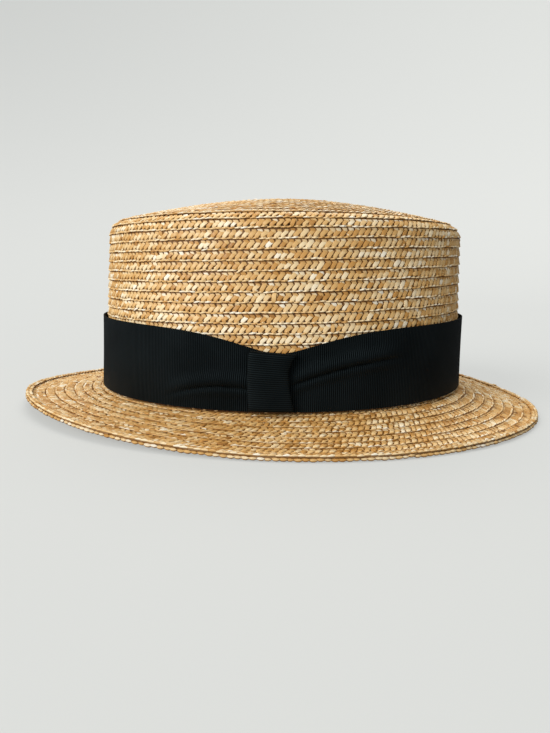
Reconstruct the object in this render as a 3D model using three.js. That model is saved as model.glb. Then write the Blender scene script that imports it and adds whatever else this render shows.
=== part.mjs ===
// Straw boater hat, resting on its brim.
// Millimetres, +Z up. X runs along the head, with the wearer's front towards -X.
// The knot of the ribbon is on the wearer's left, which faces -Y.
// Z = 0 is the surface that the hat rests on, and X = Y = 0 is the middle of the brim.
import * as THREE from 'three';

// Head oval at the bottom of the crown, measured outside the straw.
const crownHalfLength = 102;
const crownHalfWidth = 85.6;
const crownCentreX = -0.7;
const strawWall = 2.2;

// Crown heights are measured from its bottom edge. The side has a mean height and waves: each row
// of a table of waves adds along * cos(waves * angle) + across * sin(waves * angle).
const sideMean = 82;
const sideWaves = [
  { waves: 1, along: -0.9, across: -1.8 },
  { waves: 2, along: -1.3, across: 0 },
];
const sideTaper = 3.0;
const shoulderRadius = 8.4;
const shoulderSweep = THREE.MathUtils.degToRad(74.5);
const tipRise = 12.4;
const tipFullness = 1.75;

// The crown's bottom edge sits this far above the surface, on a plane that leans with the brim.
const crownSeat = 11.6;
const leanAlong = 0.021;
const leanAcross = 0.0138;

// Brim outline, and how much of its fall comes near the crown.
const brimHalfLength = 145.1;
const brimHalfWidth = 127.4;
const brimCurl = 0.5;

// Mean height of the edge's underside, and its waves.
const edgeMean = 2.55;
const edgeWaves = [
  { waves: 1, along: -0.6, across: 2.05 },
  { waves: 2, along: -1.2, across: 2.15 },
  { waves: 3, along: -0.95, across: -1.8 },
];

// Doubled plait at the brim's edge.
const edgeWidth = 4.4;
const edgeThickness = 3.4;
const edgeCorner = 0.9;

// Ribbon and knot. Heights are measured from the crown's bottom edge.
const seam = 0.3;
const ribbonBottom = 0.5;
const ribbonTop = 38.8;
const ribbonThickness = 1.0;
const ribbonStandOff = 0.6;
const pinchCentreX = -1;
const pinchDrop = 11.3;
const pinchReach = 30;
const pinchPower = 1.55;

// The knot's two sides at heights up the ribbon. The side towards +X is drawn in at its waist.
// Its pad stands off the crown by the ribbon's thickness and a little more.
const knotSections = [
  { height: 0.1, left: -13.9, right: 6.4 },
  { height: 1.2, left: -14.5, right: 6.3 },
  { height: 8, left: -14.9, right: 5.1 },
  { height: 14, left: -15.1, right: 4.0 },
  { height: 20, left: -15.2, right: 3.7 },
  { height: 25, left: -15.1, right: 5.0 },
  { height: 27.4, left: -14.8, right: 6.6 },
  { height: 28.4, left: -14.2, right: 6.8 },
];
const knotDepth = 3.2;
const knotStandOff = 0.9;
const knotRoundness = 0.45;
const knotEndFullness = 0.9;

// Folds that run out of the knot. Each follows an arched line along the ribbon, and the cloth
// stands out most a little above the line.
const ribbonFolds = [
  { startX: -15, startZ: 10.8, endX: -50, endZ: 7, arch: 2.3, rise: 1.6 },
  { startX: 5.5, startZ: 13, endX: 53, endZ: 23.5, arch: 2, rise: 1.8 },
];
const foldLift = 3.2;
const foldSpread = 3.4;
const foldFade = 9;

const crownSteps = 72;
const ribbonSteps = 96;
const sideRows = 3;
const shoulderRows = 4;
const tipRows = 5;
const brimRows = 5;
const ribbonRows = 6;
const knotPoints = 20;

const straw = { color: 0xcfae78, roughness: 0.62, metalness: 0 };
const darkStraw = { color: 0xb98f58, roughness: 0.65, metalness: 0 };
const blackRibbon = { color: 0x14171a, roughness: 0.7, metalness: 0 };
const blackKnot = { color: 0x1a1e22, roughness: 0.66, metalness: 0 };

const smoothstep = THREE.MathUtils.smoothstep;
const lerp = THREE.MathUtils.lerp;

// A closed solid skinned over rings of points. A ring of one point is a pole that closes an end;
// without poles the last ring joins the first.
function ringSolid(name, finish, rings) {
  const corners = [];
  const starts = rings.map((ring) => {
    const start = corners.length;
    corners.push(...ring);
    return start;
  });
  const faces = [];
  const hasPoles = rings[0].length === 1;
  const bandCount = hasPoles ? rings.length - 1 : rings.length;
  for (let band = 0; band < bandCount; band += 1) {
    const next = (band + 1) % rings.length;
    const steps = Math.max(rings[band].length, rings[next].length);
    for (let step = 0; step < steps; step += 1) {
      const here = (ring) => starts[ring] + (step % rings[ring].length);
      const ahead = (ring) => starts[ring] + ((step + 1) % rings[ring].length);
      if (rings[band].length > 1) {
        faces.push(here(band), ahead(band), here(next));
      }
      if (rings[next].length > 1) {
        faces.push(ahead(band), ahead(next), here(next));
      }
    }
  }
  const geometry = new THREE.BufferGeometry();
  geometry.setFromPoints(corners);
  geometry.setIndex(faces);
  geometry.computeVertexNormals();
  const mesh = new THREE.Mesh(geometry, new THREE.MeshStandardMaterial(finish));
  mesh.name = name;
  return mesh;
}

function anglesAround(steps) {
  return Array.from({ length: steps }, (_, step) => (2 * Math.PI * step) / steps);
}

function wavedHeight(mean, table, angle) {
  let height = mean;
  for (const { waves, along, across } of table) {
    height += along * Math.cos(waves * angle) + across * Math.sin(waves * angle);
  }
  return height;
}

// Height of the leaning plane that the crown stands on.
function seatHeight(x, y) {
  return crownSeat + leanAlong * x + leanAcross * y;
}

// A point on the crown's oval, shrunk or grown by inset, at a height above the seat.
function crownPoint(angle, inset, share, height) {
  const x = crownCentreX + (crownHalfLength - inset) * share * Math.cos(angle);
  const y = (crownHalfWidth - inset) * share * Math.sin(angle);
  return new THREE.Vector3(x, y, seatHeight(x, y) + height);
}

function sideInset(height) {
  return (sideTaper * height) / sideMean;
}

// Levels of one face of the crown's side, from the bottom up. climb is the share of the side's
// height that a level reaches, and rise is what it adds to that.
// depth is 0 for the outside and the wall's thickness for the inside.
function sideLevels(depth) {
  return Array.from({ length: sideRows + 1 }, (_, row) => {
    const climb = row / sideRows;
    return { inset: sideTaper * climb + depth, share: 1, climb, rise: -seam * climb };
  });
}

// Levels of one face of the crown's top, over the rounded shoulder and up the domed tip.
function topLevels(depth) {
  const levels = [];
  const bend = shoulderRadius - depth;
  for (let row = 0; row <= shoulderRows; row += 1) {
    const turn = (shoulderSweep * row) / shoulderRows;
    const inset = sideTaper + depth + bend * (1 - Math.cos(turn));
    levels.push({ inset, share: 1, climb: 1, rise: bend * Math.sin(turn) });
  }
  const rim = levels[levels.length - 1];
  for (let row = 1; row < tipRows; row += 1) {
    const share = 1 - row / tipRows;
    const rise = rim.rise + tipRise * (1 - share ** tipFullness);
    levels.push({ inset: rim.inset, share, climb: 1, rise });
  }
  return { levels, apex: sideMean + rim.rise + tipRise };
}

// The side's waves fade out towards the middle of the tip.
function crownRing({ inset, share, climb, rise }) {
  return anglesAround(crownSteps).map((angle) => {
    const sideHeight = lerp(sideMean, wavedHeight(sideMean, sideWaves, angle), share);
    return crownPoint(angle, inset, share, climb * sideHeight + rise);
  });
}

function makeCrownSide() {
  const inside = sideLevels(strawWall).reverse();
  const outside = sideLevels(0);
  return ringSolid('crown_side', straw, [...inside, ...outside].map(crownRing));
}

function makeCrownTip() {
  const inside = topLevels(strawWall);
  const outside = topLevels(0);
  const rings = [
    [crownPoint(0, 0, 0, inside.apex)],
    ...[...inside.levels.reverse(), ...outside.levels].map(crownRing),
    [crownPoint(0, 0, 0, outside.apex)],
  ];
  return ringSolid('crown_tip', straw, rings);
}

// Height of the brim's underside at its edge, where the low stretches rest on the surface.
function edgeHeight(angle) {
  return Math.max(0, wavedHeight(edgeMean, edgeWaves, angle));
}

// A point on the brim's underside. share is 0 at the crown's outside and 1 at the brim's outline.
function brimPoint(angle, share, lift) {
  const inner = crownPoint(angle, 0, 1, -seam - strawWall);
  const x = lerp(inner.x, brimHalfLength * Math.cos(angle), share);
  const y = lerp(inner.y, brimHalfWidth * Math.sin(angle), share);
  const fall = share + brimCurl * share * (1 - share);
  return new THREE.Vector3(x, y, lerp(inner.z, edgeHeight(angle), fall) + lift);
}

// The crown's wall stands on the brim's inner ring, which is level with the seat.
function underCrownPoint(angle, lift) {
  return crownPoint(angle, strawWall, 1, -seam - strawWall + lift);
}

function makeBrim() {
  const angles = anglesAround(crownSteps);
  const brimWidth = brimHalfWidth - crownHalfWidth;
  const lastShare = 1 - (edgeWidth + seam) / brimWidth;
  const ringAt = (share, lift) => angles.map((angle) => brimPoint(angle, share, lift));
  const shares = Array.from({ length: brimRows + 1 }, (_, row) => (lastShare * row) / brimRows);
  const rings = [
    angles.map((angle) => underCrownPoint(angle, strawWall)),
    angles.map((angle) => underCrownPoint(angle, 0)),
    ...shares.map((share) => ringAt(share, 0)),
    ...shares.reverse().map((share) => ringAt(share, strawWall)),
  ];
  return ringSolid('brim', straw, rings);
}

function makeBrimEdge() {
  const angles = anglesAround(crownSteps);
  const outline = [
    { inward: edgeWidth, lift: edgeCorner },
    { inward: edgeWidth - edgeCorner, lift: 0 },
    { inward: edgeCorner, lift: 0 },
    { inward: 0, lift: edgeCorner },
    { inward: 0, lift: edgeThickness - edgeCorner },
    { inward: edgeCorner, lift: edgeThickness },
    { inward: edgeWidth - edgeCorner, lift: edgeThickness },
    { inward: edgeWidth, lift: edgeThickness - edgeCorner },
  ];
  const rings = outline.map(({ inward, lift }) =>
    angles.map((angle) => {
      const x = (brimHalfLength - inward) * Math.cos(angle);
      const y = (brimHalfWidth - inward) * Math.sin(angle);
      return new THREE.Vector3(x, y, edgeHeight(angle) + lift);
    }),
  );
  return ringSolid('brim_edge', darkStraw, rings);
}

// How far the knot pulls down the ribbon's top edge, on the knot's side of the hat only.
function pinch(x, angle) {
  if (Math.sin(angle) > 0) {
    return 0;
  }
  const reach = Math.abs(x - pinchCentreX) / pinchReach;
  return pinchDrop * Math.exp(-(reach ** pinchPower));
}

// How far the folds stand out from the ribbon at a place on it.
function foldRise(x, height, angle) {
  if (Math.sin(angle) > 0) {
    return 0;
  }
  let rise = 0;
  for (const fold of ribbonFolds) {
    const along = (x - fold.startX) / (fold.endX - fold.startX);
    const line = lerp(fold.startZ, fold.endZ, along) + 4 * fold.arch * along * (1 - along);
    const off = (height - line - foldLift) / foldSpread;
    const length = Math.abs(fold.endX - fold.startX);
    const opening = smoothstep(along * length, -foldFade / 2, foldFade / 2);
    const closing = 1 - smoothstep(along * length, length - foldFade, length + foldFade);
    rise += fold.rise * Math.exp(-off * off) * opening * closing;
  }
  return rise;
}

function ribbonPoint(angle, upShare, outward) {
  const x = crownPoint(angle, 0, 1, 0).x;
  const height = lerp(ribbonBottom, ribbonTop - pinch(x, angle), upShare);
  const away = seam + ribbonStandOff * upShare * upShare * (1 - pinch(x, angle) / pinchDrop);
  const isOutside = outward > 0;
  const rise = isOutside ? foldRise(x, height, angle) : 0;
  return crownPoint(angle, sideInset(height) - away - outward - rise, 1, height);
}

function makeRibbon() {
  const angles = anglesAround(ribbonSteps);
  const shares = Array.from({ length: ribbonRows + 1 }, (_, row) => row / ribbonRows);
  const ringAt = (share, outward) => angles.map((angle) => ribbonPoint(angle, share, outward));
  const rings = [
    ...shares.map((share) => ringAt(share, ribbonThickness)),
    ...shares.reverse().map((share) => ringAt(share, 0)),
  ];
  return ringSolid('ribbon', blackRibbon, rings);
}

// The knot is a flat pad of ribbon: rounded in plan, and it follows the crown's curve behind.
function knotPoint(section, turn, fullness) {
  const across = Math.cos(turn);
  const out = -Math.sin(turn);
  const sideways = Math.sign(across) * Math.abs(across) ** knotRoundness;
  const forwards = Math.sign(out) * Math.abs(out) ** knotRoundness;
  const x = lerp(section.left, section.right, (1 + sideways * fullness) / 2);
  const inset = sideInset(section.height) - knotStandOff - ribbonThickness;
  const ovalShare = (x - crownCentreX) / (crownHalfLength - inset);
  const wallY = (crownHalfWidth - inset) * Math.sqrt(1 - ovalShare * ovalShare);
  const y = -wallY - (knotDepth / 2) * (1 + forwards * fullness);
  return new THREE.Vector3(x, y, seatHeight(x, y) + section.height);
}

function makeKnot() {
  const turns = anglesAround(knotPoints);
  const bottom = knotSections[0];
  const top = knotSections[knotSections.length - 1];
  const rings = knotSections.map((section) => {
    const fullness = section === bottom || section === top ? knotEndFullness : 1;
    return turns.map((turn) => knotPoint(section, turn, fullness));
  });
  const bottomPole = knotPoint(bottom, 0, 0);
  const topPole = knotPoint(top, 0, 0);
  return ringSolid('bow_knot', blackKnot, [[bottomPole], ...rings, [topPole]]);
}

const hat = new THREE.Group();
hat.add(makeCrownTip(), makeCrownSide(), makeBrim(), makeBrimEdge(), makeRibbon(), makeKnot());

export default hat;
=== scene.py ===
import math

import bmesh
import bpy
import numpy as np
from mathutils import Matrix, Vector


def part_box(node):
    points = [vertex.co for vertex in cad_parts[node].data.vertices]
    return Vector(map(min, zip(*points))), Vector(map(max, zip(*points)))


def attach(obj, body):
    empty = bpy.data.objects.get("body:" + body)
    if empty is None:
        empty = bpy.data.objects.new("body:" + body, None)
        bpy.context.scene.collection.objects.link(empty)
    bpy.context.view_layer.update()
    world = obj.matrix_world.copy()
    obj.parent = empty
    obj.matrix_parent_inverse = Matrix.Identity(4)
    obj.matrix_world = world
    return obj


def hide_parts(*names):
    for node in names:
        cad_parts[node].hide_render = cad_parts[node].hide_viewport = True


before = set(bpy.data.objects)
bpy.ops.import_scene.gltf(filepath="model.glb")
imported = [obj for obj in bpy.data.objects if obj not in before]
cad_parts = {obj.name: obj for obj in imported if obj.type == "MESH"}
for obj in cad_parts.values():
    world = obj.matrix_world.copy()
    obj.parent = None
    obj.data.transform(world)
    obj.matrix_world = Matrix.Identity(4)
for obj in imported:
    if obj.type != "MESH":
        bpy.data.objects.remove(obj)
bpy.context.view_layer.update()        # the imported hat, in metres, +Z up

bpy.ops.object.select_all(action="DESELECT")
scene = bpy.context.scene
mm = 0.001
fullTurn = 2 * math.pi
chance = np.random.default_rng(57)

sideLow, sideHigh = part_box("crown_side")
edgeLow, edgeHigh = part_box("brim_edge")

# The block that the straw is sewn on. Outlines come from the frame, the rest repeats its sizes.
# A wave is a count round the hat, and its heights along the cosine and the sine.
block = {
    "centreX": (sideHigh.x + sideLow.x) / 2,
    "halfLength": (sideHigh.x - sideLow.x) / 2,
    "halfWidth": (sideHigh.y - sideLow.y) / 2,
    "sideMean": 82.0 * mm,
    "sideWaves": [(1, -0.9 * mm, -1.8 * mm), (2, -1.3 * mm, 0)],
    "sideTaper": 3.0 * mm,
    "shoulderRadius": 8.4 * mm,
    "shoulderSweep": math.radians(74.5),
    "tipRise": 12.4 * mm,
    "tipFullness": 1.75,
    "seat": 11.6 * mm,
    "leanAlong": 0.021,
    "leanAcross": 0.0138,
    "tipSlit": 0.3 * mm,
    "seam": 0.3 * mm,
    "strawWall": 2.2 * mm,
    "brimHalfLength": (edgeHigh.x - edgeLow.x) / 2,
    "brimHalfWidth": (edgeHigh.y - edgeLow.y) / 2,
    "brimCurl": 0.5,
    "edgeMean": 2.55 * mm,
    "edgeWaves": [(1, -0.6 * mm, 2.05 * mm), (2, -1.2 * mm, 2.15 * mm), (3, -0.95 * mm, -1.8 * mm)],
    "edgeThickness": 3.4 * mm,
}
shoulderLength = block["shoulderRadius"] * block["shoulderSweep"]
shoulderRise = block["shoulderRadius"] * math.sin(block["shoulderSweep"])
rimInset = block["sideTaper"] + block["shoulderRadius"] * (1 - math.cos(block["shoulderSweep"]))
rimHalfLength = block["halfLength"] - rimInset
rimHalfWidth = block["halfWidth"] - rimInset
sideSlope = block["sideTaper"] / block["sideMean"]


def seatHeight(x, y):
    return block["seat"] + block["leanAlong"] * x + block["leanAcross"] * y


# A mean height and its waves, round the hat by the angle.
def wavedHeight(mean, waves, angle):
    height = mean + 0 * angle
    for count, alongCosine, alongSine in waves:
        height = height + alongCosine * np.cos(count * angle) + alongSine * np.sin(count * angle)
    return height


# Places on the straw's outside, for arrays of runs and angles. On the crown a run climbs from the
# bottom edge to the middle of the tip.
def crownSurface(run, angle):
    side = wavedHeight(block["sideMean"], block["sideWaves"], angle)
    low = np.minimum(run, side)
    turn = np.clip((run - side) / block["shoulderRadius"], 0, block["shoulderSweep"])
    beyond = np.maximum(run - side - shoulderLength, 0)
    bend = block["shoulderRadius"] * (1 - np.cos(turn))
    inset = block["sideTaper"] * low / side + bend + beyond
    x = (block["halfLength"] - inset) * np.cos(angle)
    y = np.maximum(block["halfWidth"] - inset, block["tipSlit"]) * np.sin(angle)
    share = np.minimum(np.hypot(x / rimHalfLength, y / rimHalfWidth), 1)
    dome = block["tipRise"] * (1 - share ** block["tipFullness"]) - (side - block["sideMean"]) * (1 - share)
    height = low + block["shoulderRadius"] * np.sin(turn) + np.where(beyond > 0, dome, 0)
    x = x + block["centreX"]
    return np.stack([x, y, seatHeight(x, y) + height], -1)


def edgeHeight(angle):
    return np.maximum(wavedHeight(block["edgeMean"], block["edgeWaves"], angle), 0)


brimWidth = block["brimHalfLength"] - block["halfLength"]
brimRows = {
    "count": 8,
    "outerShare": 1 - 2.7 * mm / brimWidth,      # the first row starts under the edge
    "innerShare": -0.045,                        # the last one ends under the crown's wall
    "firstTurn": -1,                             # one level turn, then the rows go inwards
    "splitTurn": 3.6,
    "lastTurn": 8.1,
    "underTurns": (1.05, 8.8),                   # the underside's rows lie outside their runs
    "sink": 0.5 * mm,
}


# On the brim a run goes inwards from the edge. Its rows are as many all round.
def brimSurface(run, angle):
    share = brimRows["outerShare"] * (1 - run / (brimRows["count"] * plait["rowPitch"]))
    share = np.maximum(share, brimRows["innerShare"])
    innerX = block["centreX"] + block["halfLength"] * np.cos(angle)
    innerY = block["halfWidth"] * np.sin(angle)
    innerZ = seatHeight(innerX, innerY) - block["seam"] - block["strawWall"]
    outerX = block["brimHalfLength"] * np.cos(angle)
    outerY = block["brimHalfWidth"] * np.sin(angle)
    fall = share + block["brimCurl"] * share * (1 - share)
    x = innerX + (outerX - innerX) * share
    y = innerY + (outerY - innerY) * share
    z = innerZ + (edgeHeight(angle) - innerZ) * fall + block["strawWall"]
    return np.stack([x, y, z], -1)


def brimUnderside(run, angle):
    return brimSurface(run, angle) - np.array([0, 0, block["strawWall"]])


# The middle of the brim's edge, with runs going level inwards.
def edgeSurface(run, angle):
    x = (block["brimHalfLength"] - run) * np.cos(angle)
    y = (block["brimHalfWidth"] - run) * np.sin(angle)
    return np.stack([x, y, edgeHeight(angle) + block["edgeThickness"] / 2 + 0 * run], -1)


def outwardAt(surface, run, angle):
    reach, swing = 0.2 * mm, 0.002               # two small steps on the surface
    along = surface(run, angle + swing) - surface(run, angle - swing)
    inwards = surface(run + reach, angle) - surface(run - reach, angle)
    out = np.cross(along, inwards)
    length = np.linalg.norm(out, axis=1)
    still = length < 1e-12                       # at the very middle of the tip
    out[still] = (0, 0, 1)
    length[still] = 1
    return out / length[:, None]


# Small tools
def deselectAll():
    bpy.ops.object.select_all(action="DESELECT")


def pickOnly(*objects):
    deselectAll()
    for item in objects:
        item.select_set(True)
    bpy.context.view_layer.objects.active = objects[0]


def pickVertices(item, wanted):
    mesh = bmesh.from_edit_mesh(item.data)
    bpy.ops.mesh.select_mode(type="VERT")
    for vertex in mesh.verts:
        vertex.select = wanted(vertex.co)
    mesh.select_flush_mode()
    bmesh.update_edit_mesh(item.data)


def applyPlace(item):
    pickOnly(item)
    bpy.ops.object.transform_apply(location=True, rotation=True, scale=True)


def applyModifiers(item):
    pickOnly(item)
    for modifier in list(item.modifiers):
        bpy.ops.object.modifier_apply(modifier=modifier.name)


def readPoints(mesh):
    points = np.zeros(len(mesh.vertices) * 3, np.float32)
    mesh.vertices.foreach_get("co", points)
    return points.reshape(-1, 3).astype(float)


def writePoints(mesh, points):
    mesh.vertices.foreach_set("co", points.astype(np.float32).ravel())
    mesh.update()


def readNumbers(mesh, name):
    numbers = np.zeros(len(mesh.vertices), np.float32)
    mesh.attributes[name].data.foreach_get("value", numbers)
    return numbers


def writeNumbers(mesh, name, numbers):
    store = mesh.attributes.get(name) or mesh.attributes.new(name, "FLOAT", "POINT")
    store.data.foreach_set("value", np.asarray(numbers, np.float32))


def copyOf(item, name):
    twin = item.copy()
    twin.data = item.data.copy()
    twin.name = name
    scene.collection.objects.link(twin)
    return twin


def smoothstep(value, low, high):
    share = np.clip((value - low) / (high - low), 0, 1)
    return share * share * (3 - 2 * share)


def mapCloth(mesh, along, across):
    layer = mesh.uv_layers.active or mesh.uv_layers.new(name="UVMap")
    corners = np.zeros(len(mesh.loops), np.int32)
    mesh.loops.foreach_get("vertex_index", corners)
    u, v = along[corners], across[corners]
    starts = np.zeros(len(mesh.polygons), np.int32)
    mesh.polygons.foreach_get("loop_start", starts)
    totals = np.zeros(len(mesh.polygons), np.int32)
    mesh.polygons.foreach_get("loop_total", totals)
    face = np.repeat(np.arange(len(totals)), totals)
    top = np.maximum.reduceat(u, starts)[face]
    span = along.max()
    u = np.where(top - u > span / 2, u + span, u)      # the face that closes the loop
    layer.data.foreach_set("uv", np.stack([u, v], 1).astype(np.float32).ravel())


# One step of the plait. x runs along the row, y from its outer selvedge inwards, z out of the
# straw. Sizes are in mm, headings in degrees, and a cut is a place, a girth and a lift.
plait = {
    "stepLength": 3.0 * mm,
    "rowPitch": 4.795 * mm,
    "lapAngle": -9.5,
    "brimLap": -6.0,               # the brim's rows lie flatter
    # painted shade: the brim's strands are toned darker
    "brimPaintedShade": 0.075,             # and its straw is a little darker
    "strands": [
        {"name": "slope", "length": 4.3, "width": 2.2, "thick": 0.95, "heading": 47,
         "place": (1.3, 2.42, -0.36), "cuts": [(-1.2, 0.98, 0.05), (1.1, 1.02, 0.03)],
         "tips": (0.62, 0.72), "dives": (-0.42, -0.34), "tone": 0.0},
        {"name": "loop", "length": 3.35, "width": 1.0, "thick": 0.95, "heading": 5,
         "place": (0.2, 0.5, -0.30), "cuts": [(0.15, 1.0, 0.06)],
         "tips": (0.55, 0.5), "dives": (-0.2, -0.32), "tone": 0.10},
        {"name": "arm", "length": 2.1, "width": 1.15, "thick": 0.75, "heading": -38,
         "place": (0.95, 1.45, -0.44), "cuts": [(0.0, 1.0, 0.1)],
         "tips": (0.5, 0.4), "dives": (-0.1, -0.3), "tone": 0.04},
        {"name": "crossing", "length": 3.5, "width": 2.05, "thick": 0.85, "heading": -46,
         "place": (1.95, 4.1, -0.27), "cuts": [(0.5, 1.0, 0.04)],
         "tips": (0.8, 0.6), "dives": (-0.1, -0.32), "tone": 0.02},
    ],
    "hiddenStrands": [
        {"name": "slope", "length": 7.0, "width": 2.2, "thick": 0.95, "heading": 47,
         "place": (2.0, 3.4, -0.36), "cuts": [(0.0, 1.0, 0.04)],
         "tips": (0.62, 0.85), "dives": (-0.42, -0.3), "tone": 0.0},
        {"name": "loop", "length": 3.4, "width": 1.0, "thick": 0.95, "heading": 5,
         "place": (0.2, 0.5, -0.30), "cuts": [],
         "tips": (0.6, 0.5), "dives": (-0.2, -0.3), "tone": 0.10},
    ],
    "underLap": 176,
    "underSink": 0.0,
    "spareSteps": 4,
    "smoothAngle": 34,
}

rod = {
    "pickReach": 0.01,             # for picking a ring of vertices by its place
    "shoulderWidth": 0.84,
    "shoulderLift": 0.235,
    "footWidth": 1.7,
    "footLift": 0.15,
    "footLevel": -0.1,             # the foot is below this share of the thickness
    # painted shade at the strand's ends
    "endShade": 0.55,
}


# A unit rod along X. A flat strand has a low crown, crisp shoulders and a wide foot.
def makeRod(strand):
    rounded = strand.get("round", False)
    bpy.ops.mesh.primitive_cylinder_add(
        vertices=6 if rounded else 5, radius=0.5, depth=1, end_fill_type="NGON",
        rotation=(math.pi / 2, 0, math.pi / 2))
    piece = bpy.context.object
    piece.name = strand["name"]
    applyPlace(piece)
    if rounded:
        return piece
    bpy.ops.object.mode_set(mode="EDIT")
    pickVertices(piece, lambda place: 0.1 < place.z < 0.2)
    bpy.ops.transform.resize(value=(1, rod["shoulderWidth"], 1), center_override=(0, 0, 0))
    bpy.ops.transform.translate(value=(0, 0, rod["shoulderLift"]))
    pickVertices(piece, lambda place: place.z < -0.3)
    bpy.ops.transform.resize(value=(1, rod["footWidth"], 1), center_override=(0, 0, 0))
    bpy.ops.transform.translate(value=(0, 0, rod["footLift"]))
    bpy.ops.object.mode_set(mode="OBJECT")
    return piece


# The rod is cut across, its ends are thinned and dive, and its foot, and partly its ends, are marked for
# painted shade.
def makeStrand(strand, number):
    piece = makeRod(strand)
    piece.scale = (strand["length"], strand["width"], strand["thick"])
    applyPlace(piece)
    bpy.ops.object.mode_set(mode="EDIT")
    for at, girth, _ in strand["cuts"]:
        bpy.ops.mesh.select_all(action="SELECT")
        bpy.ops.mesh.bisect(plane_co=(at, 0, 0), plane_no=(1, 0, 0))
        pickVertices(piece, lambda place: abs(place.x - at) < rod["pickReach"])
        bpy.ops.transform.resize(value=(1, girth, girth), center_override=(at, 0, 0))
    bpy.ops.object.mode_set(mode="OBJECT")
    points = readPoints(piece.data)
    # painted shade is marked at the foot and, in part, at the ends
    foot = np.where(points[:, 2] < rod["footLevel"] * strand["thick"], 1.0, 0.0)
    atEnd = np.abs(points[:, 0]) > strand["length"] / 2 - rod["pickReach"]
    foot = np.where(atEnd, np.maximum(foot, rod["endShade"]), foot)
    foot = np.maximum(foot, strand.get("paintedShade", 0))
    writeNumbers(piece.data, "foot", foot)
    bpy.ops.object.mode_set(mode="EDIT")
    for at, _, lift in strand["cuts"]:
        pickVertices(piece, lambda place: abs(place.x - at) < rod["pickReach"])
        bpy.ops.transform.translate(value=(0, 0, lift))
    for end, tip, dive in zip((-0.5, 0.5), strand["tips"], strand["dives"]):
        at = end * strand["length"]
        pickVertices(piece, lambda place: abs(place.x - at) < rod["pickReach"])
        bpy.ops.transform.resize(value=(1, tip, tip), center_override=(at, 0, 0))
        bpy.ops.transform.translate(value=(0, 0, dive))
    bpy.ops.object.mode_set(mode="OBJECT")
    piece.rotation_euler = (0, 0, math.radians(strand["heading"]))
    piece.location = strand["place"]
    applyPlace(piece)
    writeNumbers(piece.data, "strand", np.full(len(piece.data.vertices), number))
    writeNumbers(piece.data, "ownTone", np.full(len(piece.data.vertices), strand["tone"]))
    return piece


def makeStep(name, strands, material, lapAngle=plait["lapAngle"]):
    rods = [makeStrand(strand, number) for number, strand in enumerate(strands)]
    pickOnly(*rods)
    bpy.ops.object.join()
    step = bpy.context.object
    step.name = name
    writeNumbers(step.data, "across", readPoints(step.data)[:, 1])
    step.rotation_euler = (math.radians(lapAngle), 0, 0)
    step.scale = (mm, mm, mm)
    applyPlace(step)
    bpy.ops.object.shade_smooth_by_angle(angle=math.radians(plait["smoothAngle"]))
    step.data.materials.clear()
    step.data.materials.append(material)
    return step


# A straight length of plait. Each strand gets a tone of its own, and lies a little out of place. Its pale
# patches are partly paler straw and partly a painted highlight.
looseness = {
    "slide": 0.13 * mm,
    "sway": 0.08 * mm,
    "lift": 0.06 * mm,
    "turn": math.radians(3.5),
    "girth": 0.07,
    "kinkShare": 0.010,
    "kinkLift": 0.32 * mm,
    "kinkTurn": math.radians(24),
    "patchSteps": 4,
    "patchMean": 0.33,             # of the patches' squared draws
    # pale patches: partly paler straw, partly painted highlight
    "patchToneAndHighlight": 0.27,
    "strandTone": 0.135,
}


def straightPlait(name, step, steps):
    length = copyOf(step, name)
    repeat = length.modifiers.new("steps", "ARRAY")
    repeat.use_relative_offset = False
    repeat.use_constant_offset = True
    repeat.constant_offset_displace = (plait["stepLength"], 0, 0)
    repeat.count = steps
    applyModifiers(length)
    mesh = length.data
    points = readPoints(mesh)
    label = readNumbers(mesh, "strand").astype(int)
    perStep = len(points) // steps
    kinds = label.max() + 1
    owner = (np.arange(len(points)) // perStep) * kinds + label
    strandCount = steps * kinds
    share = np.bincount(owner, minlength=strandCount)[:, None]
    middle = np.stack([np.bincount(owner, points[:, axis], strandCount) for axis in range(3)], 1) / share
    kinked = chance.random(strandCount) < looseness["kinkShare"]
    turn = chance.normal(0, 1, strandCount) * np.where(kinked, looseness["kinkTurn"], looseness["turn"])
    girth = 1 + chance.normal(0, looseness["girth"], strandCount)
    shift = np.stack([
        chance.normal(0, looseness["slide"], strandCount),
        chance.normal(0, looseness["sway"], strandCount),
        chance.normal(0, looseness["lift"], strandCount) + kinked * looseness["kinkLift"],
    ], 1)
    local = (points - middle[owner]) * girth[owner][:, None]
    cosine, sine = np.cos(turn)[owner], np.sin(turn)[owner]
    turnedX = local[:, 0] * cosine - local[:, 1] * sine
    turnedY = local[:, 0] * sine + local[:, 1] * cosine
    writePoints(mesh, middle[owner] + np.stack([turnedX, turnedY, local[:, 2]], 1) + shift[owner])
    patchCount = steps // looseness["patchSteps"] + 2
    # the pale patches are partly paler straw and partly painted highlight
    patches = chance.random((patchCount, kinds)) ** 2      # few patches are pale
    at = np.arange(steps) / looseness["patchSteps"]
    low = at.astype(int)
    blend = smoothstep(at - low, 0.2, 0.8)[:, None]
    patchToneAndHighlight = (patches[low] * (1 - blend) + patches[low + 1] * blend).ravel() - looseness["patchMean"]
    tone = 0.5 + looseness["patchToneAndHighlight"] * patchToneAndHighlight
    tone = tone + looseness["strandTone"] * chance.normal(0, 1, strandCount)
    writeNumbers(mesh, "tone", tone[owner] + readNumbers(mesh, "ownTone"))
    mesh.attributes.remove(mesh.attributes["strand"])
    mesh.attributes.remove(mesh.attributes["ownTone"])
    return length


# Carries a row of numbers on past both its ends, so that end strands have somewhere to lie.
def extendEnds(numbers, count):
    reach = np.arange(1, count + 1)
    before = numbers[0] - reach[::-1] * (numbers[1] - numbers[0])
    after = numbers[-1] + reach * (numbers[-1] - numbers[-2])
    return np.concatenate([before, numbers, after])


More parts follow.
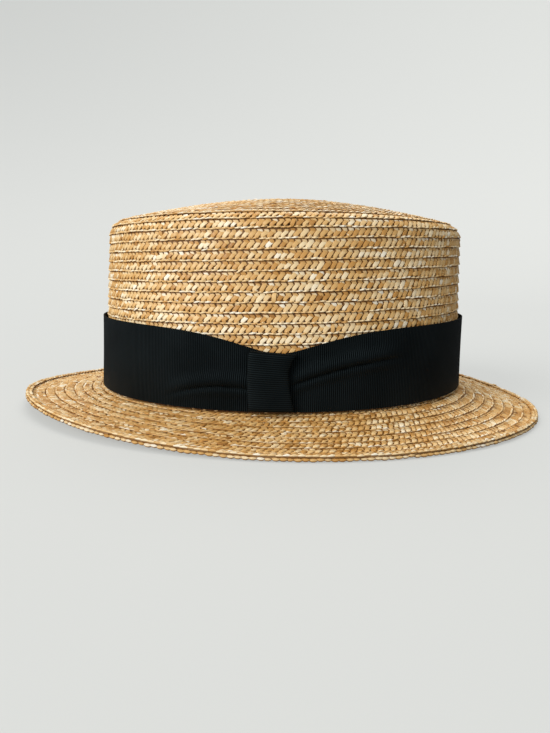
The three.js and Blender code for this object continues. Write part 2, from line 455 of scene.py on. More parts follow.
# Lays a length of plait along its row: its selvedge follows the runs, round by the angles.
def sewPlait(name, step, surface, angles, runs, sink):
    spare = plait["spareSteps"]
    angles, runs = extendEnds(angles, spare), extendEnds(runs, spare)
    middle = surface(runs + plait["rowPitch"] / 2, angles)
    distance = np.concatenate([[0], np.cumsum(np.linalg.norm(np.diff(middle, axis=0), axis=1))])
    distance -= distance[spare]
    span = distance[-1 - spare]
    steps = round(span / plait["stepLength"])
    piece = straightPlait(name, step, steps)
    points = readPoints(piece.data)
    along = points[:, 0] * span / (steps * plait["stepLength"])
    angle = np.interp(along, distance, angles)
    run = np.interp(along, distance, runs) + points[:, 1]
    out = outwardAt(surface, run, angle)
    writePoints(piece.data, surface(run, angle) + out * (points[:, 2] - sink)[:, None])
    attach(piece, "root")
    triangles = sum(len(face.vertices) - 2 for face in piece.data.polygons)
    print(f"{name}: {steps} steps, {triangles} triangles")
    return piece


# Materials
def newMaterial(name):
    material = bpy.data.materials.new(name)
    material.use_nodes = True
    nodes = material.node_tree.nodes
    return material, nodes, material.node_tree.links, nodes["Principled BSDF"]


def addNode(nodes, kind, **settings):
    node = nodes.new(kind)
    for key, value in settings.items():
        setattr(node, key, value)
    return node


def addRamp(nodes, stops):
    ramp = nodes.new("ShaderNodeValToRGB")
    ramp.color_ramp.elements.remove(ramp.color_ramp.elements[1])
    ramp.color_ramp.elements[0].position = stops[0][0]
    ramp.color_ramp.elements[0].color = (*stops[0][1], 1)
    for position, colour in stops[1:]:
        ramp.color_ramp.elements.new(position).color = (*colour, 1)
    return ramp


# A smooth step of a value between two levels, as a node.
def addStep(nodes, links, source, low, high):
    step = addNode(nodes, "ShaderNodeMapRange", interpolation_type="SMOOTHSTEP")
    step.inputs["From Min"].default_value = low
    step.inputs["From Max"].default_value = high
    links.new(source, step.inputs["Value"])
    return step.outputs["Result"]


# A value or socket goes in at each of the node's inputs.
def addMath(nodes, links, operation, *values):
    node = addNode(nodes, "ShaderNodeMath", operation=operation)
    for number, value in enumerate(values):
        if isinstance(value, (int, float)):
            node.inputs[number].default_value = value
        else:
            links.new(value, node.inputs[number])
    return node.outputs["Value"]


def addNoise(nodes, links, source, scale, detail, dimensions="3D"):
    noise = addNode(nodes, "ShaderNodeTexNoise", noise_dimensions=dimensions)
    noise.inputs["Scale"].default_value = scale
    noise.inputs["Detail"].default_value = detail
    links.new(source, noise.inputs["Vector"])
    return noise


# The UV map, stretched along its two directions.
def addStretch(nodes, links, place, scale):
    stretch = addNode(nodes, "ShaderNodeMapping")
    stretch.inputs["Scale"].default_value = scale
    links.new(place.outputs["UV"], stretch.inputs["Vector"])
    return stretch.outputs["Vector"]


def addBump(nodes, links, shader, height, strength, distance):
    bump = addNode(nodes, "ShaderNodeBump")
    bump.inputs["Strength"].default_value = strength
    bump.inputs["Distance"].default_value = distance
    links.new(height, bump.inputs["Height"])
    links.new(bump.outputs["Normal"], shader.inputs["Normal"])


# Roughness between two levels, as a pattern goes from its lowest value to 1.
def addGloss(nodes, links, shader, pattern, lowest, levels):
    gloss = addNode(nodes, "ShaderNodeMapRange")
    gloss.inputs["From Min"].default_value = lowest
    gloss.inputs["To Min"].default_value = levels[0]
    gloss.inputs["To Max"].default_value = levels[1]
    links.new(pattern, gloss.inputs["Value"])
    links.new(gloss.outputs["Result"], shader.inputs["Roughness"])


# The ramp's colours, and a dark painted shade colour where the painted shade is full.
def addShade(nodes, links, shader, ramp, paintedShade, dark):
    shaded = addNode(nodes, "ShaderNodeMix", data_type="RGBA")
    shaded.inputs["B"].default_value = dark
    links.new(paintedShade, shaded.inputs["Factor"])
    links.new(ramp.outputs["Color"], shaded.inputs["A"])
    links.new(shaded.outputs["Result"], shader.inputs["Base Color"])


# A noise is a scale and a detail, and a relief is a strength and a depth.
strawFinish = {
    "tones": [
        (0.00, (0.330, 0.138, 0.024)),
        (0.28, (0.600, 0.305, 0.078)),
        (0.50, (0.750, 0.472, 0.185)),
        (0.70, (0.890, 0.690, 0.405)),
        (0.92, (0.955, 0.860, 0.680)),
    ],
    # painted shade: the dark colour put at the strands' feet and ends and in the grooves where a row tucks
    # under
    "paintedShadeColour": (0.255, 0.102, 0.014, 1),
    "roughness": (0.30, 0.50),
    "gloss": 0.38,
    "fibreStretch": (7, 1.3, 1),       # around a strand, and along it
    "fibres": (3.0, 3.0),
    "fibreSeed": 60,
    "fibreTone": 0.22,
    "fibreRelief": (0.35, 0.12 * mm),
    "stains": (26, 2.0),
    "stainTone": 0.16,
    "footShade": (0.30, 0.95),
    "grooveShade": (4.15, 4.65),       # mm in from the selvedge
}


def strawMaterial(name):
    material, nodes, links, shader = newMaterial(name)
    tone = addNode(nodes, "ShaderNodeAttribute", attribute_name="tone").outputs["Fac"]
    place = addNode(nodes, "ShaderNodeTexCoord")
    # fine fibres run along each strand, and slow stains over the whole hat
    stretched = addStretch(nodes, links, place, strawFinish["fibreStretch"])
    fibres = addNoise(nodes, links, stretched, *strawFinish["fibres"], "4D")
    links.new(addMath(nodes, links, "MULTIPLY", tone, strawFinish["fibreSeed"]), fibres.inputs["W"])
    fibre = fibres.outputs["Fac"]
    stain = addNoise(nodes, links, place.outputs["Object"], *strawFinish["stains"]).outputs["Fac"]
    level = addMath(nodes, links, "MULTIPLY_ADD", fibre, strawFinish["fibreTone"], tone)
    level = addMath(nodes, links, "MULTIPLY_ADD", stain, strawFinish["stainTone"], level)
    middle = (strawFinish["fibreTone"] + strawFinish["stainTone"]) / 2
    ramp = addRamp(nodes, strawFinish["tones"])
    links.new(addMath(nodes, links, "SUBTRACT", level, middle), ramp.inputs["Fac"])
    # painted shade gathers at the strands' feet and ends, and where a row tucks under the next
    foot = addNode(nodes, "ShaderNodeAttribute", attribute_name="foot")
    across = addNode(nodes, "ShaderNodeAttribute", attribute_name="across")
    footShade = addStep(nodes, links, foot.outputs["Fac"], *strawFinish["footShade"])
    grooveShade = addStep(nodes, links, across.outputs["Fac"], *strawFinish["grooveShade"])
    paintedShade = addMath(nodes, links, "MAXIMUM", footShade, grooveShade)
    addShade(nodes, links, shader, ramp, paintedShade, strawFinish["paintedShadeColour"])
    addGloss(nodes, links, shader, fibre, 0, strawFinish["roughness"])
    addBump(nodes, links, shader, fibre, *strawFinish["fibreRelief"])
    shader.inputs["Specular IOR Level"].default_value = strawFinish["gloss"]
    return material


paintedShadeFinish = {
    "tones": [(0.35, (0.12, 0.050, 0.010)), (0.65, (0.24, 0.105, 0.024))],
    "grain": (900, 3),
    "relief": (0.5, 0.2 * mm),
    "roughness": 0.7,
}


# A dark straw colour under the strands: painted shade that shows through the gaps between them.
def coreMaterial():
    material, nodes, links, shader = newMaterial("shaded straw")
    place = addNode(nodes, "ShaderNodeTexCoord")
    grain = addNoise(nodes, links, place.outputs["Object"], *paintedShadeFinish["grain"]).outputs["Fac"]
    ramp = addRamp(nodes, paintedShadeFinish["tones"])
    links.new(grain, ramp.inputs["Fac"])
    links.new(ramp.outputs["Color"], shader.inputs["Base Color"])
    addBump(nodes, links, shader, grain, *paintedShadeFinish["relief"])
    shader.inputs["Roughness"].default_value = paintedShadeFinish["roughness"]
    return material


insideFinish = {
    "tones": [
        (0.05, (0.420, 0.210, 0.055)),
        (0.50, (0.640, 0.390, 0.150)),
        (0.95, (0.800, 0.600, 0.330)),
    ],
    "paintedSlitShade": (0.120, 0.050, 0.010, 1),
    "lean": 1.5,                  # strand widths that a strand leans over a row's width
    "slitShade": (0.70, 0.97),
    "grooveShade": (0.78, 0.97),
    "relief": (1.0, 0.4 * mm),
    "roughness": 0.55,
}


# The plait's inner face, with painted shade in its slits and grooves. The UV map holds millimetres along
# and up the rows.
def insideMaterial():
    material, nodes, links, shader = newMaterial("straw inside the crown")
    place = addNode(nodes, "ShaderNodeTexCoord")
    parts = addNode(nodes, "ShaderNodeSeparateXYZ")
    links.new(place.outputs["UV"], parts.inputs["Vector"])
    row = addMath(nodes, links, "DIVIDE", parts.outputs["Y"], plait["rowPitch"] / mm)
    height = addMath(nodes, links, "SUBTRACT", addMath(nodes, links, "FRACT", row), 0.5)
    fromMiddle = addMath(nodes, links, "ABSOLUTE", height)
    lean = addMath(nodes, links, "MULTIPLY", fromMiddle, insideFinish["lean"])
    across = addMath(nodes, links, "DIVIDE", parts.outputs["X"], plait["stepLength"] / mm)
    phase = addMath(nodes, links, "SUBTRACT", across, lean)
    strand = addMath(nodes, links, "SUBTRACT", addMath(nodes, links, "FRACT", phase), 0.5)
    fromStrand = addMath(nodes, links, "MULTIPLY", addMath(nodes, links, "ABSOLUTE", strand), 2.0)
    fromRow = addMath(nodes, links, "MULTIPLY", fromMiddle, 2.0)
    paintedSlitShade = addStep(nodes, links, fromStrand, *insideFinish["slitShade"])
    groove = addStep(nodes, links, fromRow, *insideFinish["grooveShade"])
    paintedShade = addMath(nodes, links, "MAXIMUM", paintedSlitShade, groove)
    label = addNode(nodes, "ShaderNodeCombineXYZ")
    links.new(addMath(nodes, links, "FLOOR", phase), label.inputs["X"])
    links.new(addMath(nodes, links, "FLOOR", row), label.inputs["Y"])
    own = addNode(nodes, "ShaderNodeTexWhiteNoise", noise_dimensions="2D")
    links.new(label.outputs["Vector"], own.inputs["Vector"])
    ramp = addRamp(nodes, insideFinish["tones"])
    links.new(own.outputs["Value"], ramp.inputs["Fac"])
    addShade(nodes, links, shader, ramp, paintedShade, insideFinish["paintedSlitShade"])
    addBump(nodes, links, shader, addMath(nodes, links, "SUBTRACT", 1.0, paintedShade), *insideFinish["relief"])
    shader.inputs["Roughness"].default_value = insideFinish["roughness"]
    return material


ribbonFinish = {
    "ribPitch": 0.97,        # mm
    "tones": [(0.40, (0.0001, 0.0002, 0.0003)), (0.88, (0.0064, 0.0088, 0.0100))],
    "gloss": 0.10,
    "glossTint": (0.70, 0.95, 1.0, 1),
    "roughness": (0.85, 0.38),         # in the valleys and on the ribs
    "threadStretch": (0.9, 2.4),
    "threads": (2.2, 3),
    "threadRelief": 0.5,
    "wear": (45, 4),
    # painted light on the ribs' crests and painted shade in their valleys
    "ribLightAndShade": 0.30,
}


# Grosgrain. The UV map holds millimetres along and across the ribbon.
def ribbonMaterial(name, ribRelief, ribsAlong):
    material, nodes, links, shader = newMaterial(name)
    place = addNode(nodes, "ShaderNodeTexCoord")
    parts = addNode(nodes, "ShaderNodeSeparateXYZ")
    links.new(place.outputs["UV"], parts.inputs["Vector"])
    pace = fullTurn / ribbonFinish["ribPitch"]
    phase = addMath(nodes, links, "MULTIPLY", parts.outputs["X" if ribsAlong else "Y"], pace)
    ribs = addMath(nodes, links, "SINE", phase)
    long, short = ribbonFinish["threadStretch"]
    stretched = addStretch(nodes, links, place, (long, short, 1) if ribsAlong else (short, long, 1))
    threads = addNoise(nodes, links, stretched, *ribbonFinish["threads"]).outputs["Fac"]
    wear = addNoise(nodes, links, place.outputs["Object"], *ribbonFinish["wear"]).outputs["Fac"]
    relief = addMath(nodes, links, "MULTIPLY_ADD", threads, ribbonFinish["threadRelief"], ribs)
    # painted light and shade follow the ribs and threads; the wear is the cloth's own
    level = addMath(nodes, links, "MULTIPLY_ADD", relief, ribbonFinish["ribLightAndShade"], wear)
    ramp = addRamp(nodes, ribbonFinish["tones"])
    links.new(level, ramp.inputs["Fac"])
    links.new(ramp.outputs["Color"], shader.inputs["Base Color"])
    addGloss(nodes, links, shader, ribs, -1, ribbonFinish["roughness"])
    addBump(nodes, links, shader, relief, 1.0, ribRelief * mm)
    shader.inputs["Specular IOR Level"].default_value = ribbonFinish["gloss"]
    shader.inputs["Specular Tint"].default_value = ribbonFinish["glossTint"]
    return material


# The crown's plait climbs in one spiral to the middle of the tip.
rows = {
    "grooveRun": 88.87 * mm,     # a selvedge's run at the front
    "rise": 0.9 * mm,            # the rows climb this much more towards +X
    "wavers": [(0.09 * mm, 7.37), (0.09 * mm, 17.61), (0.07 * mm, 43.3)],
    "sink": 0.45 * mm,           # the plait lies under the block's outside
    "hiddenSink": 0.75 * mm,     # and deeper where the ribbon covers it
    "pointsPerTurn": 240,
    "startRun": -5.5 * mm,
    "bottomRun": -1.5 * mm,      # the first turn stands in the brim's seam
    "ribbonRun": 24 * mm,        # rows below this are behind the ribbon
    "splitRun": 57 * mm,
    "tipRun": 89.5 * mm,
    "centreGap": 0.8 * mm,
}


def waverAt(angles):
    return sum(reach * np.sin(pace * angles) for reach, pace in rows["wavers"])


# Where the spiral is at a run. The front is three quarters of the way round.
def angleOf(run):
    return fullTurn * (0.75 + (run - rows["grooveRun"]) / plait["rowPitch"])


def sewCrown(name, step, lowRun, highRun, sink):
    first, last = angleOf(lowRun), angleOf(highRun)
    angles = np.linspace(first, last, int((last - first) / fullTurn * rows["pointsPerTurn"]))
    runs = np.linspace(lowRun, highRun, len(angles)) + rows["rise"] * np.cos(angles) + waverAt(angles)
    runs = np.maximum(runs, rows["bottomRun"])
    return sewPlait(name, step, crownSurface, angles, runs, sink)


def sewBrim(name, step, surface, firstTurn, lastTurn, sink):
    turns = np.linspace(firstTurn, lastTurn, int((lastTurn - firstTurn) * rows["pointsPerTurn"]))
    runs = np.maximum(turns, 0) * plait["rowPitch"] + waverAt(turns * fullTurn)
    return sewPlait(name, step, surface, turns * fullTurn, runs, sink)


# The spiral starts on a short straight length along the middle of the tip.
tipStart = {"steps": 10, "lift": 0.15 * mm}


def sewTipStart(name, step):
    piece = straightPlait(name, step, tipStart["steps"])
    points = readPoints(piece.data)
    x = points[:, 0] - tipStart["steps"] * plait["stepLength"] / 2
    y = points[:, 1] - plait["rowPitch"] / 2
    share = np.hypot(x / rimHalfLength, y / rimHalfWidth)
    top = block["sideMean"] + shoulderRise + block["tipRise"] * (1 - share ** block["tipFullness"])
    x = x + block["centreX"]
    z = seatHeight(x, y) + top + points[:, 2] - rows["sink"] + tipStart["lift"]
    z = z - math.radians(plait["lapAngle"]) * y          # laid level, not lapped
    writePoints(piece.data, np.stack([x, y, z], 1))
    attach(piece, "root")
    print(f"{name}: made")


strawLight = strawMaterial("sewn wheat straw")
strawEdge = strawMaterial("edge straw")
paintedShadeStraw = coreMaterial()
strawInside = insideMaterial()

fullStep = makeStep("plait_step", plait["strands"], strawLight)
# the brim's strands get the painted shade as a darker tone
brimStrands = [dict(strand, tone=strand["tone"] - plait["brimPaintedShade"]) for strand in plait["strands"]]
brimStep = makeStep("plait_step_brim", brimStrands, strawLight, lapAngle=plait["brimLap"])
hiddenStep = makeStep("plait_step_hidden", plait["hiddenStrands"], strawLight)
underStep = makeStep("plait_step_under", plait["hiddenStrands"], strawLight, lapAngle=plait["underLap"])

tipEnd = block["sideMean"] + shoulderLength + rimHalfWidth - rows["centreGap"]
sewCrown("side_plait_under", hiddenStep, rows["startRun"], rows["ribbonRun"], rows["hiddenSink"])
sewCrown("side_plait_lower", fullStep, rows["ribbonRun"], rows["splitRun"], rows["sink"])
sidePlait = sewCrown("side_plait_upper", fullStep, rows["splitRun"], rows["tipRun"], rows["sink"])
tipPlait = sewCrown("tip_plait", fullStep, rows["tipRun"], tipEnd, rows["sink"])
sewTipStart("tip_plait_start", fullStep)
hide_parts("crown_side")
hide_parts("crown_tip")

firstTurn, splitTurn, lastTurn = brimRows["firstTurn"], brimRows["splitTurn"], brimRows["lastTurn"]
brimPlait = sewBrim("brim_plait_outer", brimStep, brimSurface, firstTurn, splitTurn, brimRows["sink"])
sewBrim("brim_plait_inner", brimStep, brimSurface, splitTurn, lastTurn, brimRows["sink"])
sewBrim("brim_plait_under", underStep, brimUnderside, *brimRows["underTurns"], plait["underSink"])
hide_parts("brim")

# The brim's edge: two rows of beads, with a seam between them that is darkened with painted shade.
edge = {
    "strands": [
        {"name": "beadUpper", "round": True, "length": 3.5, "width": 1.7, "thick": 1.25, "heading": 7,
         "place": (0.0, 1.15, 1.0), "cuts": [(0.0, 1.0, 0.05)], "tips": (0.55, 0.45), "dives": (-0.1, -0.2),
         "tone": 0.08},
        {"name": "beadLower", "round": True, "length": 3.4, "width": 1.6, "thick": 1.5, "heading": -5,
         "place": (1.4, 0.92, -0.72), "cuts": [(-0.5, 1.0, 0.0), (0.6, 1.0, 0.0)], "tips": (0.5, 0.5),
         "dives": (0.1, 0.1), "tone": 0.05},
        {"name": "seam", "round": True, "length": 3.2, "width": 1.6, "thick": 2.2, "heading": 0,
         "place": (0.0, 2.0, 0.1), "cuts": [], "tips": (1.0, 1.0), "dives": (0.0, 0.0), "tone": 0.0,
         # the seam is painted dark: painted shade
         "paintedShade": 0.6},
        {"name": "topFold", "length": 3.4, "width": 1.5, "thick": 1.1, "heading": 24,
         "place": (0.6, 2.75, 0.95), "cuts": [(0.0, 1.0, 0.05)], "tips": (0.6, 0.6), "dives": (-0.2, -0.2),
         "tone": 0.0},
        {"name": "underFold", "round": True, "length": 3.4, "width": 2.0, "thick": 1.1, "heading": -14,
         "place": (0.4, 2.7, -1.0), "cuts": [], "tips": (0.6, 0.6), "dives": (0.2, 0.2), "tone": 0.0},
    ],
}
edgeStep = makeStep("edge_step", edge["strands"], strawEdge, lapAngle=0)
writeNumbers(edgeStep.data, "across", np.zeros(len(edgeStep.data.vertices)))
edgeAngles = np.linspace(0, fullTurn, 2 * rows["pointsPerTurn"])
edgePiece = sewPlait("edge_binding", edgeStep, edgeSurface, edgeAngles, 0 * edgeAngles, 0)
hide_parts("brim_edge")

# Painted shade between the strands: copies of the frame's walls, with their outside moved in, coloured dark
# where the gaps between strands show them.
core = {
    "outerDepth": 1.6 * mm,
    "innerDepth": 0.15 * mm,
    "underDepth": 0.45 * mm,       # under the brim, which has strands on both sides
    "footReach": 1.8 * mm,
    "footDrop": 1.9 * mm,          # the crown's foot closes the seam
    "rimReach": 0.955,
    "rimSpread": 1.02,             # the brim's rim goes on into the edge
    "mergeReach": 0.01 * mm,
    "smoothAngle": 40,
}
hollowMiddle = Vector((block["centreX"], 0, block["sideMean"] / 2))


# Outside is away from the hollow's middle, or upwards on the brim.
def facesOut(vertex, level):
    if level:
        return vertex.normal.z > 0
    return vertex.normal.dot(vertex.co - hollowMiddle) > 0


# Millimetres along and up the rows, from places on a wall.
def mapRows(wall, name):
    points = readPoints(wall.data)
    x, y = points[:, 0] - block["centreX"], points[:, 1]
    angle = np.arctan2(y / block["halfWidth"], x / block["halfLength"])
    along = (angle + math.pi) * (block["halfLength"] + block["halfWidth"]) / 2
    run = points[:, 2] - seatHeight(points[:, 0], y)
    if name == "crown_tip":
        run = rimHalfWidth * (1 - np.hypot(x / rimHalfLength, y / rimHalfWidth))
    mapCloth(wall.data, along / mm, run / mm)


# The hollow's faces take the inside finish; the others take the dark painted shade.
def finishWall(wall, name):
    wall.data.materials.clear()
    wall.data.materials.append(paintedShadeStraw)
    wall.data.materials.append(strawInside)
    for face in wall.data.polygons:
        inwards = face.normal.dot(face.center - hollowMiddle) < 0
        face.material_index = 1 if inwards and name != "brim" else 0


def strawCore(names):
    walls = [copyOf(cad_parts[name], name + "_core") for name in names]
    for name, wall in zip(names, walls):
        wall.parent = None
        wall.hide_render = False
        wall.hide_viewport = False
        for key in list(wall.keys()):      # the frame's own marks
            del wall[key]
        pickOnly(wall)
        bpy.ops.object.mode_set(mode="EDIT")
        bpy.ops.mesh.select_all(action="SELECT")
        bpy.ops.mesh.remove_doubles(threshold=core["mergeReach"])
        mesh = bmesh.from_edit_mesh(wall.data)
        outside = {vertex.index for vertex in mesh.verts if facesOut(vertex, name == "brim")}
        innerDepth = core["underDepth" if name == "brim" else "innerDepth"]
        for outer, depth in ((True, core["outerDepth"]), (False, innerDepth)):
            mesh = bmesh.from_edit_mesh(wall.data)
            bpy.ops.mesh.select_mode(type="VERT")
            for vertex in mesh.verts:
                vertex.select = (vertex.index in outside) == outer
            mesh.select_flush_mode()
            bmesh.update_edit_mesh(wall.data)
            bpy.ops.transform.shrink_fatten(value=-depth)
        if name == "crown_side":
            pickVertices(wall, lambda place: place.z < seatHeight(place.x, place.y) + core["footReach"])
            bpy.ops.transform.translate(value=(0, 0, -core["footDrop"]))
        if name == "brim":
            rimX = core["rimReach"] * block["brimHalfLength"]
            rimY = core["rimReach"] * block["brimHalfWidth"]
            spread = core["rimSpread"]
            pickVertices(wall, lambda place: math.hypot(place.x / rimX, place.y / rimY) > 1)
            bpy.ops.transform.resize(value=(spread, spread, 1), center_override=(0, 0, 0))
        bpy.ops.object.mode_set(mode="OBJECT")
        mapRows(wall, name)
        finishWall(wall, name)
    pickOnly(*walls)
    bpy.ops.object.join()
    joined = bpy.context.object
    joined.name = "straw_core"
    bpy.ops.object.shade_smooth_by_angle(angle=math.radians(core["smoothAngle"]))
    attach(joined, "root")
    return joined


strawCore(["crown_tip", "crown_side", "brim"])
print("straw core made")

for step in (fullStep, brimStep, hiddenStep, underStep, edgeStep):
    bpy.data.objects.remove(step)

# The ribbon and the knot are worked out in mm, on the crown's oval.
centre, halfLength, halfWidth = [block[name] / mm for name in ("centreX", "halfLength", "halfWidth")]
clothAngle = math.radians(50)

# A fold stands out most a little above its line, and less below it.
ribbon = {
    "bottom": 0.5, "top": 38.8, "outFace": 1.3, "standOff": 0.6, "thickness": 0.6,
    "pinchCentre": -1.0, "pinchDrop": 11.3, "pinchReach": 30, "pinchPower": 1.55,
    "columns": 320, "rowCuts": 41, "frontCrowding": 0.5, "ringPoints": 2001, "ribRelief": 0.15,
    "folds": [
        {"startX": -15, "startZ": 10.8, "endX": -50, "endZ": 7, "arch": 2.3, "rise": 1.6},
        {"startX": 5.5, "startZ": 13, "endX": 53, "endZ": 23.5, "arch": 2, "rise": 1.8},
    ],
    "foldLift": 3.2, "foldSpread": 3.4, "foldFade": 9,
    "underDrop": 2.4, "underSpread": 1.9, "underShare": 0.35,
    "creaseDepth": 0.9, "creaseWidth": 0.75,
}


def pinch(x, onFront):
    reach = np.abs(x - ribbon["pinchCentre"]) / ribbon["pinchReach"]
    return np.where(onFront, ribbon["pinchDrop"] * np.exp(-(reach ** ribbon["pinchPower"])), 0)


def foldRise(x, height, onFront):
    rise = np.zeros_like(x)
    fade = ribbon["foldFade"]
    for fold in ribbon["folds"]:
        along = (x - fold["startX"]) / (fold["endX"] - fold["startX"])
        line = fold["startZ"] + (fold["endZ"] - fold["startZ"]) * along
        line = line + 4 * fold["arch"] * along * (1 - along)
        length = abs(fold["endX"] - fold["startX"])
        opening = smoothstep(along * length, -fade / 2, fade / 2)
        closing = 1 - smoothstep(along * length, length - fade, length + fade)
        above = (height - line - ribbon["foldLift"]) / ribbon["foldSpread"]
        below = (height - line + ribbon["underDrop"]) / ribbon["underSpread"]
        groove = (height - line) / ribbon["creaseWidth"]
        shape = fold["rise"] * (np.exp(-above * above) + ribbon["underShare"] * np.exp(-below * below))
        shape -= ribbon["creaseDepth"] * np.exp(-groove * groove)
        rise += shape * opening * closing
    return np.where(onFront, rise, 0)


# Places on the ribbon's outside, from an angle and a share of its height.
def ribbonPlace(angle, up):
    onFront = np.sin(angle) < 0
    drop = pinch(centre + halfLength * np.cos(angle), onFront)
    height = ribbon["bottom"] + (ribbon["top"] - drop - ribbon["bottom"]) * up
    away = ribbon["outFace"] + ribbon["standOff"] * up * up * (1 - drop / ribbon["pinchDrop"])
    rise = foldRise(centre + halfLength * np.cos(angle), height, onFront)
    inset = sideSlope * height - away - rise
    x = centre + (halfLength - inset) * np.cos(angle)
    y = (halfWidth - inset) * np.sin(angle)
    return np.stack([x, y, seatHeight(x * mm, y * mm) / mm + height], 1), height


# A unit tube, open at both ends, with its upright edges cut.
def makeTube(name, sides, cuts):
    bpy.ops.mesh.primitive_cylinder_add(vertices=sides, radius=1, depth=1, end_fill_type="NOTHING")
    tube = bpy.context.object
    tube.name = name
    bpy.ops.object.mode_set(mode="EDIT")
    mesh = bmesh.from_edit_mesh(tube.data)
    bpy.ops.mesh.select_all(action="DESELECT")
    bpy.ops.mesh.select_mode(type="EDGE")
    for line in mesh.edges:
        low, high = [vertex.co.z for vertex in line.verts]
        line.select = abs(low - high) > 0.5
    bmesh.update_edit_mesh(tube.data)
    bpy.ops.mesh.subdivide(number_cuts=cuts)
    bpy.ops.object.mode_set(mode="OBJECT")
    return tube


# Faces outwards, then the cloth's thickness inwards.
def finishCloth(piece, thickness, material):
    pickOnly(piece)
    bpy.ops.object.mode_set(mode="EDIT")
    bpy.ops.mesh.select_all(action="SELECT")
    bpy.ops.mesh.normals_make_consistent(inside=False)
    bpy.ops.object.mode_set(mode="OBJECT")
    cloth = piece.modifiers.new("cloth", "SOLIDIFY")
    cloth.thickness = thickness * mm
    cloth.offset = -1
    applyModifiers(piece)
    bpy.ops.object.shade_smooth_by_angle(angle=clothAngle)
    piece.data.materials.append(material)


def makeRibbon():
    band = makeTube("ribbon_band", ribbon["columns"], ribbon["rowCuts"])
    points = readPoints(band.data)
    even = np.arctan2(points[:, 1], points[:, 0]) + math.pi / 2        # 0 at the knot
    angle = even - ribbon["frontCrowding"] * np.sin(even) - math.pi / 2
    places, height = ribbonPlace(angle, points[:, 2] + 0.5)
    fine = np.linspace(-math.pi, math.pi, ribbon["ringPoints"])
    ring, _ = ribbonPlace(fine, np.zeros_like(fine))
    steps = np.concatenate([[0], np.cumsum(np.linalg.norm(np.diff(ring, axis=0), axis=1))])
    wrapped = (angle + math.pi) % fullTurn - math.pi
    mapCloth(band.data, np.interp(wrapped, fine, steps), height)
    writePoints(band.data, places * mm)
    finishCloth(band, ribbon["thickness"], ribbonMaterial("black grosgrain", ribbon["ribRelief"], True))
    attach(band, "root")
    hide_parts("ribbon")
    print(f"ribbon: {steps[-1]:.0f} mm round")


makeRibbon()

# The knot is the same ribbon folded in half, with its ribs level.
knot = {
    "sections": [                  # height, left side, right side
        (1.0, -13.9, 6.4), (2.0, -14.5, 6.3), (8, -14.9, 5.1), (14, -15.1, 4.0),
        (20, -15.2, 3.7), (25, -15.1, 5.0), (27.4, -14.8, 6.6), (28.4, -14.2, 6.8),
    ],
    "depth": 3.2, "backOff": 1.9, "roundness": 0.45, "endRound": 2.2, "endDepth": 0.42,
    "topSlope": 0.08, "sides": 56, "levelCuts": 119, "wrapLength": 44, "thickness": 0.5,
    "ribPitch": 0.97, "ribHeight": 0.11, "ribRelief": 0.06,
}


def makeKnot():
    wrap = makeTube("ribbon_knot", knot["sides"], knot["levelCuts"])
    points = readPoints(wrap.data)
    levels, lefts, rights = np.array(knot["sections"]).T
    low, high = levels[0], levels[-1]
    height = low + (points[:, 2] + 0.5) * (high - low)
    left = np.interp(height, levels, lefts)
    right = np.interp(height, levels, rights)
    turn = np.arctan2(points[:, 1], points[:, 0])
    across, out = np.cos(turn), -np.sin(turn)
    sideways = np.sign(across) * np.abs(across) ** knot["roundness"]
    forwards = np.sign(out) * np.abs(out) ** knot["roundness"]
    fromEnd = np.minimum(height - low, high - height)
    full = 1 - (1 - np.clip(fromEnd / knot["endRound"], 0, 1)) ** 2
    depth = knot["depth"] * (knot["endDepth"] + (1 - knot["endDepth"]) * np.sqrt(full))
    ribs = knot["ribHeight"] * np.abs(np.sin(math.pi * height / knot["ribPitch"])) * (forwards + 1) / 2
    x = left + (right - left) * (1 + sideways) / 2
    inset = sideSlope * height - knot["backOff"]
    wall = (halfWidth - inset) * np.sqrt(1 - ((x - centre) / (halfLength - inset)) ** 2)
    y = -wall - depth / 2 * (1 + forwards) - ribs
    middle = (lefts.mean() + rights.mean()) / 2
    slope = -knot["topSlope"] * (x - middle) * (height - low) / (high - low)
    z = seatHeight(x * mm, y * mm) / mm + height + slope
    mapCloth(wrap.data, (turn + math.pi) / fullTurn * knot["wrapLength"], height)
    writePoints(wrap.data, np.stack([x, y, z], 1) * mm)
    finishCloth(wrap, knot["thickness"], ribbonMaterial("black grosgrain knot", knot["ribRelief"], False))
    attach(wrap, "root")
    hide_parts("bow_knot")
    print("knot made")


makeKnot()

# A pale floor that curves up all round behind the hat.
stage = {
    "sides": 96,
    "radius": 1.1,
    "coveRadius": 1.9,
    "coveSteps": 14,
    "paint": (0.24, 0.24, 0.232, 1),
    "roughness": 0.8,
    "glow": (0.92, 0.94, 0.91, 1),
    "glowStrength": 0.46,
}


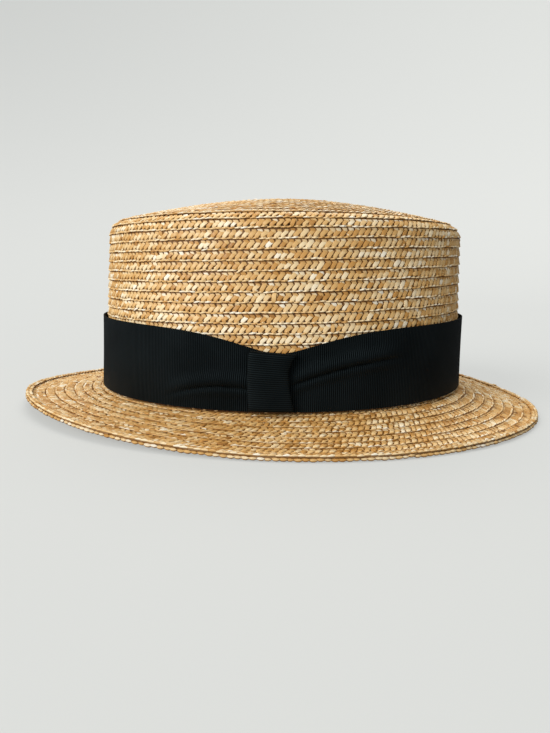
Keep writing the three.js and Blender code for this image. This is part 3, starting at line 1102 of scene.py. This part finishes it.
def makeStage():
    bpy.ops.mesh.primitive_circle_add(vertices=stage["sides"], radius=stage["radius"], fill_type="NGON")
    floor = bpy.context.object
    floor.name = "pale_floor"
    bpy.ops.object.mode_set(mode="EDIT")
    reach, rise = stage["radius"], 0
    for step in range(1, stage["coveSteps"] + 1):
        turn = math.pi / 2 * step / stage["coveSteps"]
        nextReach = stage["radius"] + stage["coveRadius"] * math.sin(turn)
        nextRise = stage["coveRadius"] * (1 - math.cos(turn))
        pickVertices(floor, lambda place: place.xy.length > reach - 0.001)
        bpy.ops.mesh.select_mode(type="EDGE")
        bpy.ops.mesh.extrude_edges_move(TRANSFORM_OT_translate={"value": (0, 0, nextRise - rise)})
        ratio = nextReach / reach
        bpy.ops.transform.resize(value=(ratio, ratio, 1), center_override=(0, 0, nextRise))
        reach, rise = nextReach, nextRise
    bpy.ops.object.mode_set(mode="OBJECT")
    bpy.ops.object.shade_smooth()
    material, nodes, links, shader = newMaterial("pale floor")
    shader.inputs["Base Color"].default_value = stage["paint"]
    shader.inputs["Roughness"].default_value = stage["roughness"]
    shader.inputs["Emission Color"].default_value = stage["glow"]
    shader.inputs["Emission Strength"].default_value = stage["glowStrength"]
    floor.data.materials.append(material)
    # the stage shows behind the hat, and throws no light back on it
    floor.visible_diffuse = False
    floor.visible_glossy = False
    floor.visible_shadow = False


# A soft lamp far away, so that it lights the hat and the stage alike.
def addLamp(name, direction, softness, power, colour):
    data = bpy.data.lights.new(name, "SUN")
    data.angle = math.radians(softness)
    data.energy = power
    data.color = colour
    lamp = bpy.data.objects.new(name, data)
    lamp.rotation_euler = (-Vector(direction)).to_track_quat("-Z", "Y").to_euler()
    scene.collection.objects.link(lamp)


lamps = [
    {"name": "window", "direction": (-0.766, -0.643, 0.52), "softness": 35, "power": 2.08,
     "colour": (1.0, 0.985, 0.955)},
    {"name": "overhead", "direction": (0.0, 0.55, 1.0), "softness": 50, "power": 1.4,
     "colour": (1.0, 0.99, 0.97)},
]
makeStage()
for lamp in lamps:
    addLamp(**lamp)

room = {
    "tint": (0.86, 0.90, 0.93, 1),
    "brightSide": (-0.50, -0.70, 0.50),
    "dimFrom": -0.3,
    "levels": (0.15, 0.95),        # away from the bright side, and towards it
}


# A pale room that is brighter on the window's side.
def makeRoom():
    world = bpy.data.worlds.new("pale room")
    world.use_nodes = True
    nodes, links = world.node_tree.nodes, world.node_tree.links
    direction = addNode(nodes, "ShaderNodeTexCoord")
    towards = addNode(nodes, "ShaderNodeVectorMath", operation="DOT_PRODUCT")
    towards.inputs[1].default_value = room["brightSide"]
    level = addNode(nodes, "ShaderNodeMapRange")
    level.inputs["From Min"].default_value = room["dimFrom"]
    level.inputs["To Min"].default_value = room["levels"][0]
    level.inputs["To Max"].default_value = room["levels"][1]
    links.new(direction.outputs["Generated"], towards.inputs[0])
    links.new(towards.outputs["Value"], level.inputs["Value"])
    links.new(level.outputs["Result"], nodes["Background"].inputs["Strength"])
    nodes["Background"].inputs["Color"].default_value = room["tint"]
    scene.world = world


makeRoom()
print("stage, lamps and room made")
scene.view_settings.view_transform = "Standard"

viewpoint = {
    "place": (2.0 * mm, -368.1 * mm, 79.1 * mm),
    "down": 9.443,                 # degrees, as the next two
    "left": 0.958,
    "roll": 1.435,
    "lens": 30.76,
    "film": 36,
    "nearest": 0.01,
}
cameraData = bpy.data.cameras.new("viewpoint")
cameraData.lens = viewpoint["lens"]
cameraData.sensor_width = viewpoint["film"]
cameraData.clip_start = viewpoint["nearest"]
camera = bpy.data.objects.new("viewpoint", cameraData)
scene.collection.objects.link(camera)
camera.matrix_world = (
    Matrix.Translation(viewpoint["place"])
    @ Matrix.Rotation(math.radians(viewpoint["left"]), 4, "Z")
    @ Matrix.Rotation(math.radians(90 - viewpoint["down"]), 4, "X")
    @ Matrix.Rotation(math.radians(viewpoint["roll"]), 4, "Z")
)
scene.camera = camera
deselectAll()
print("camera placed")
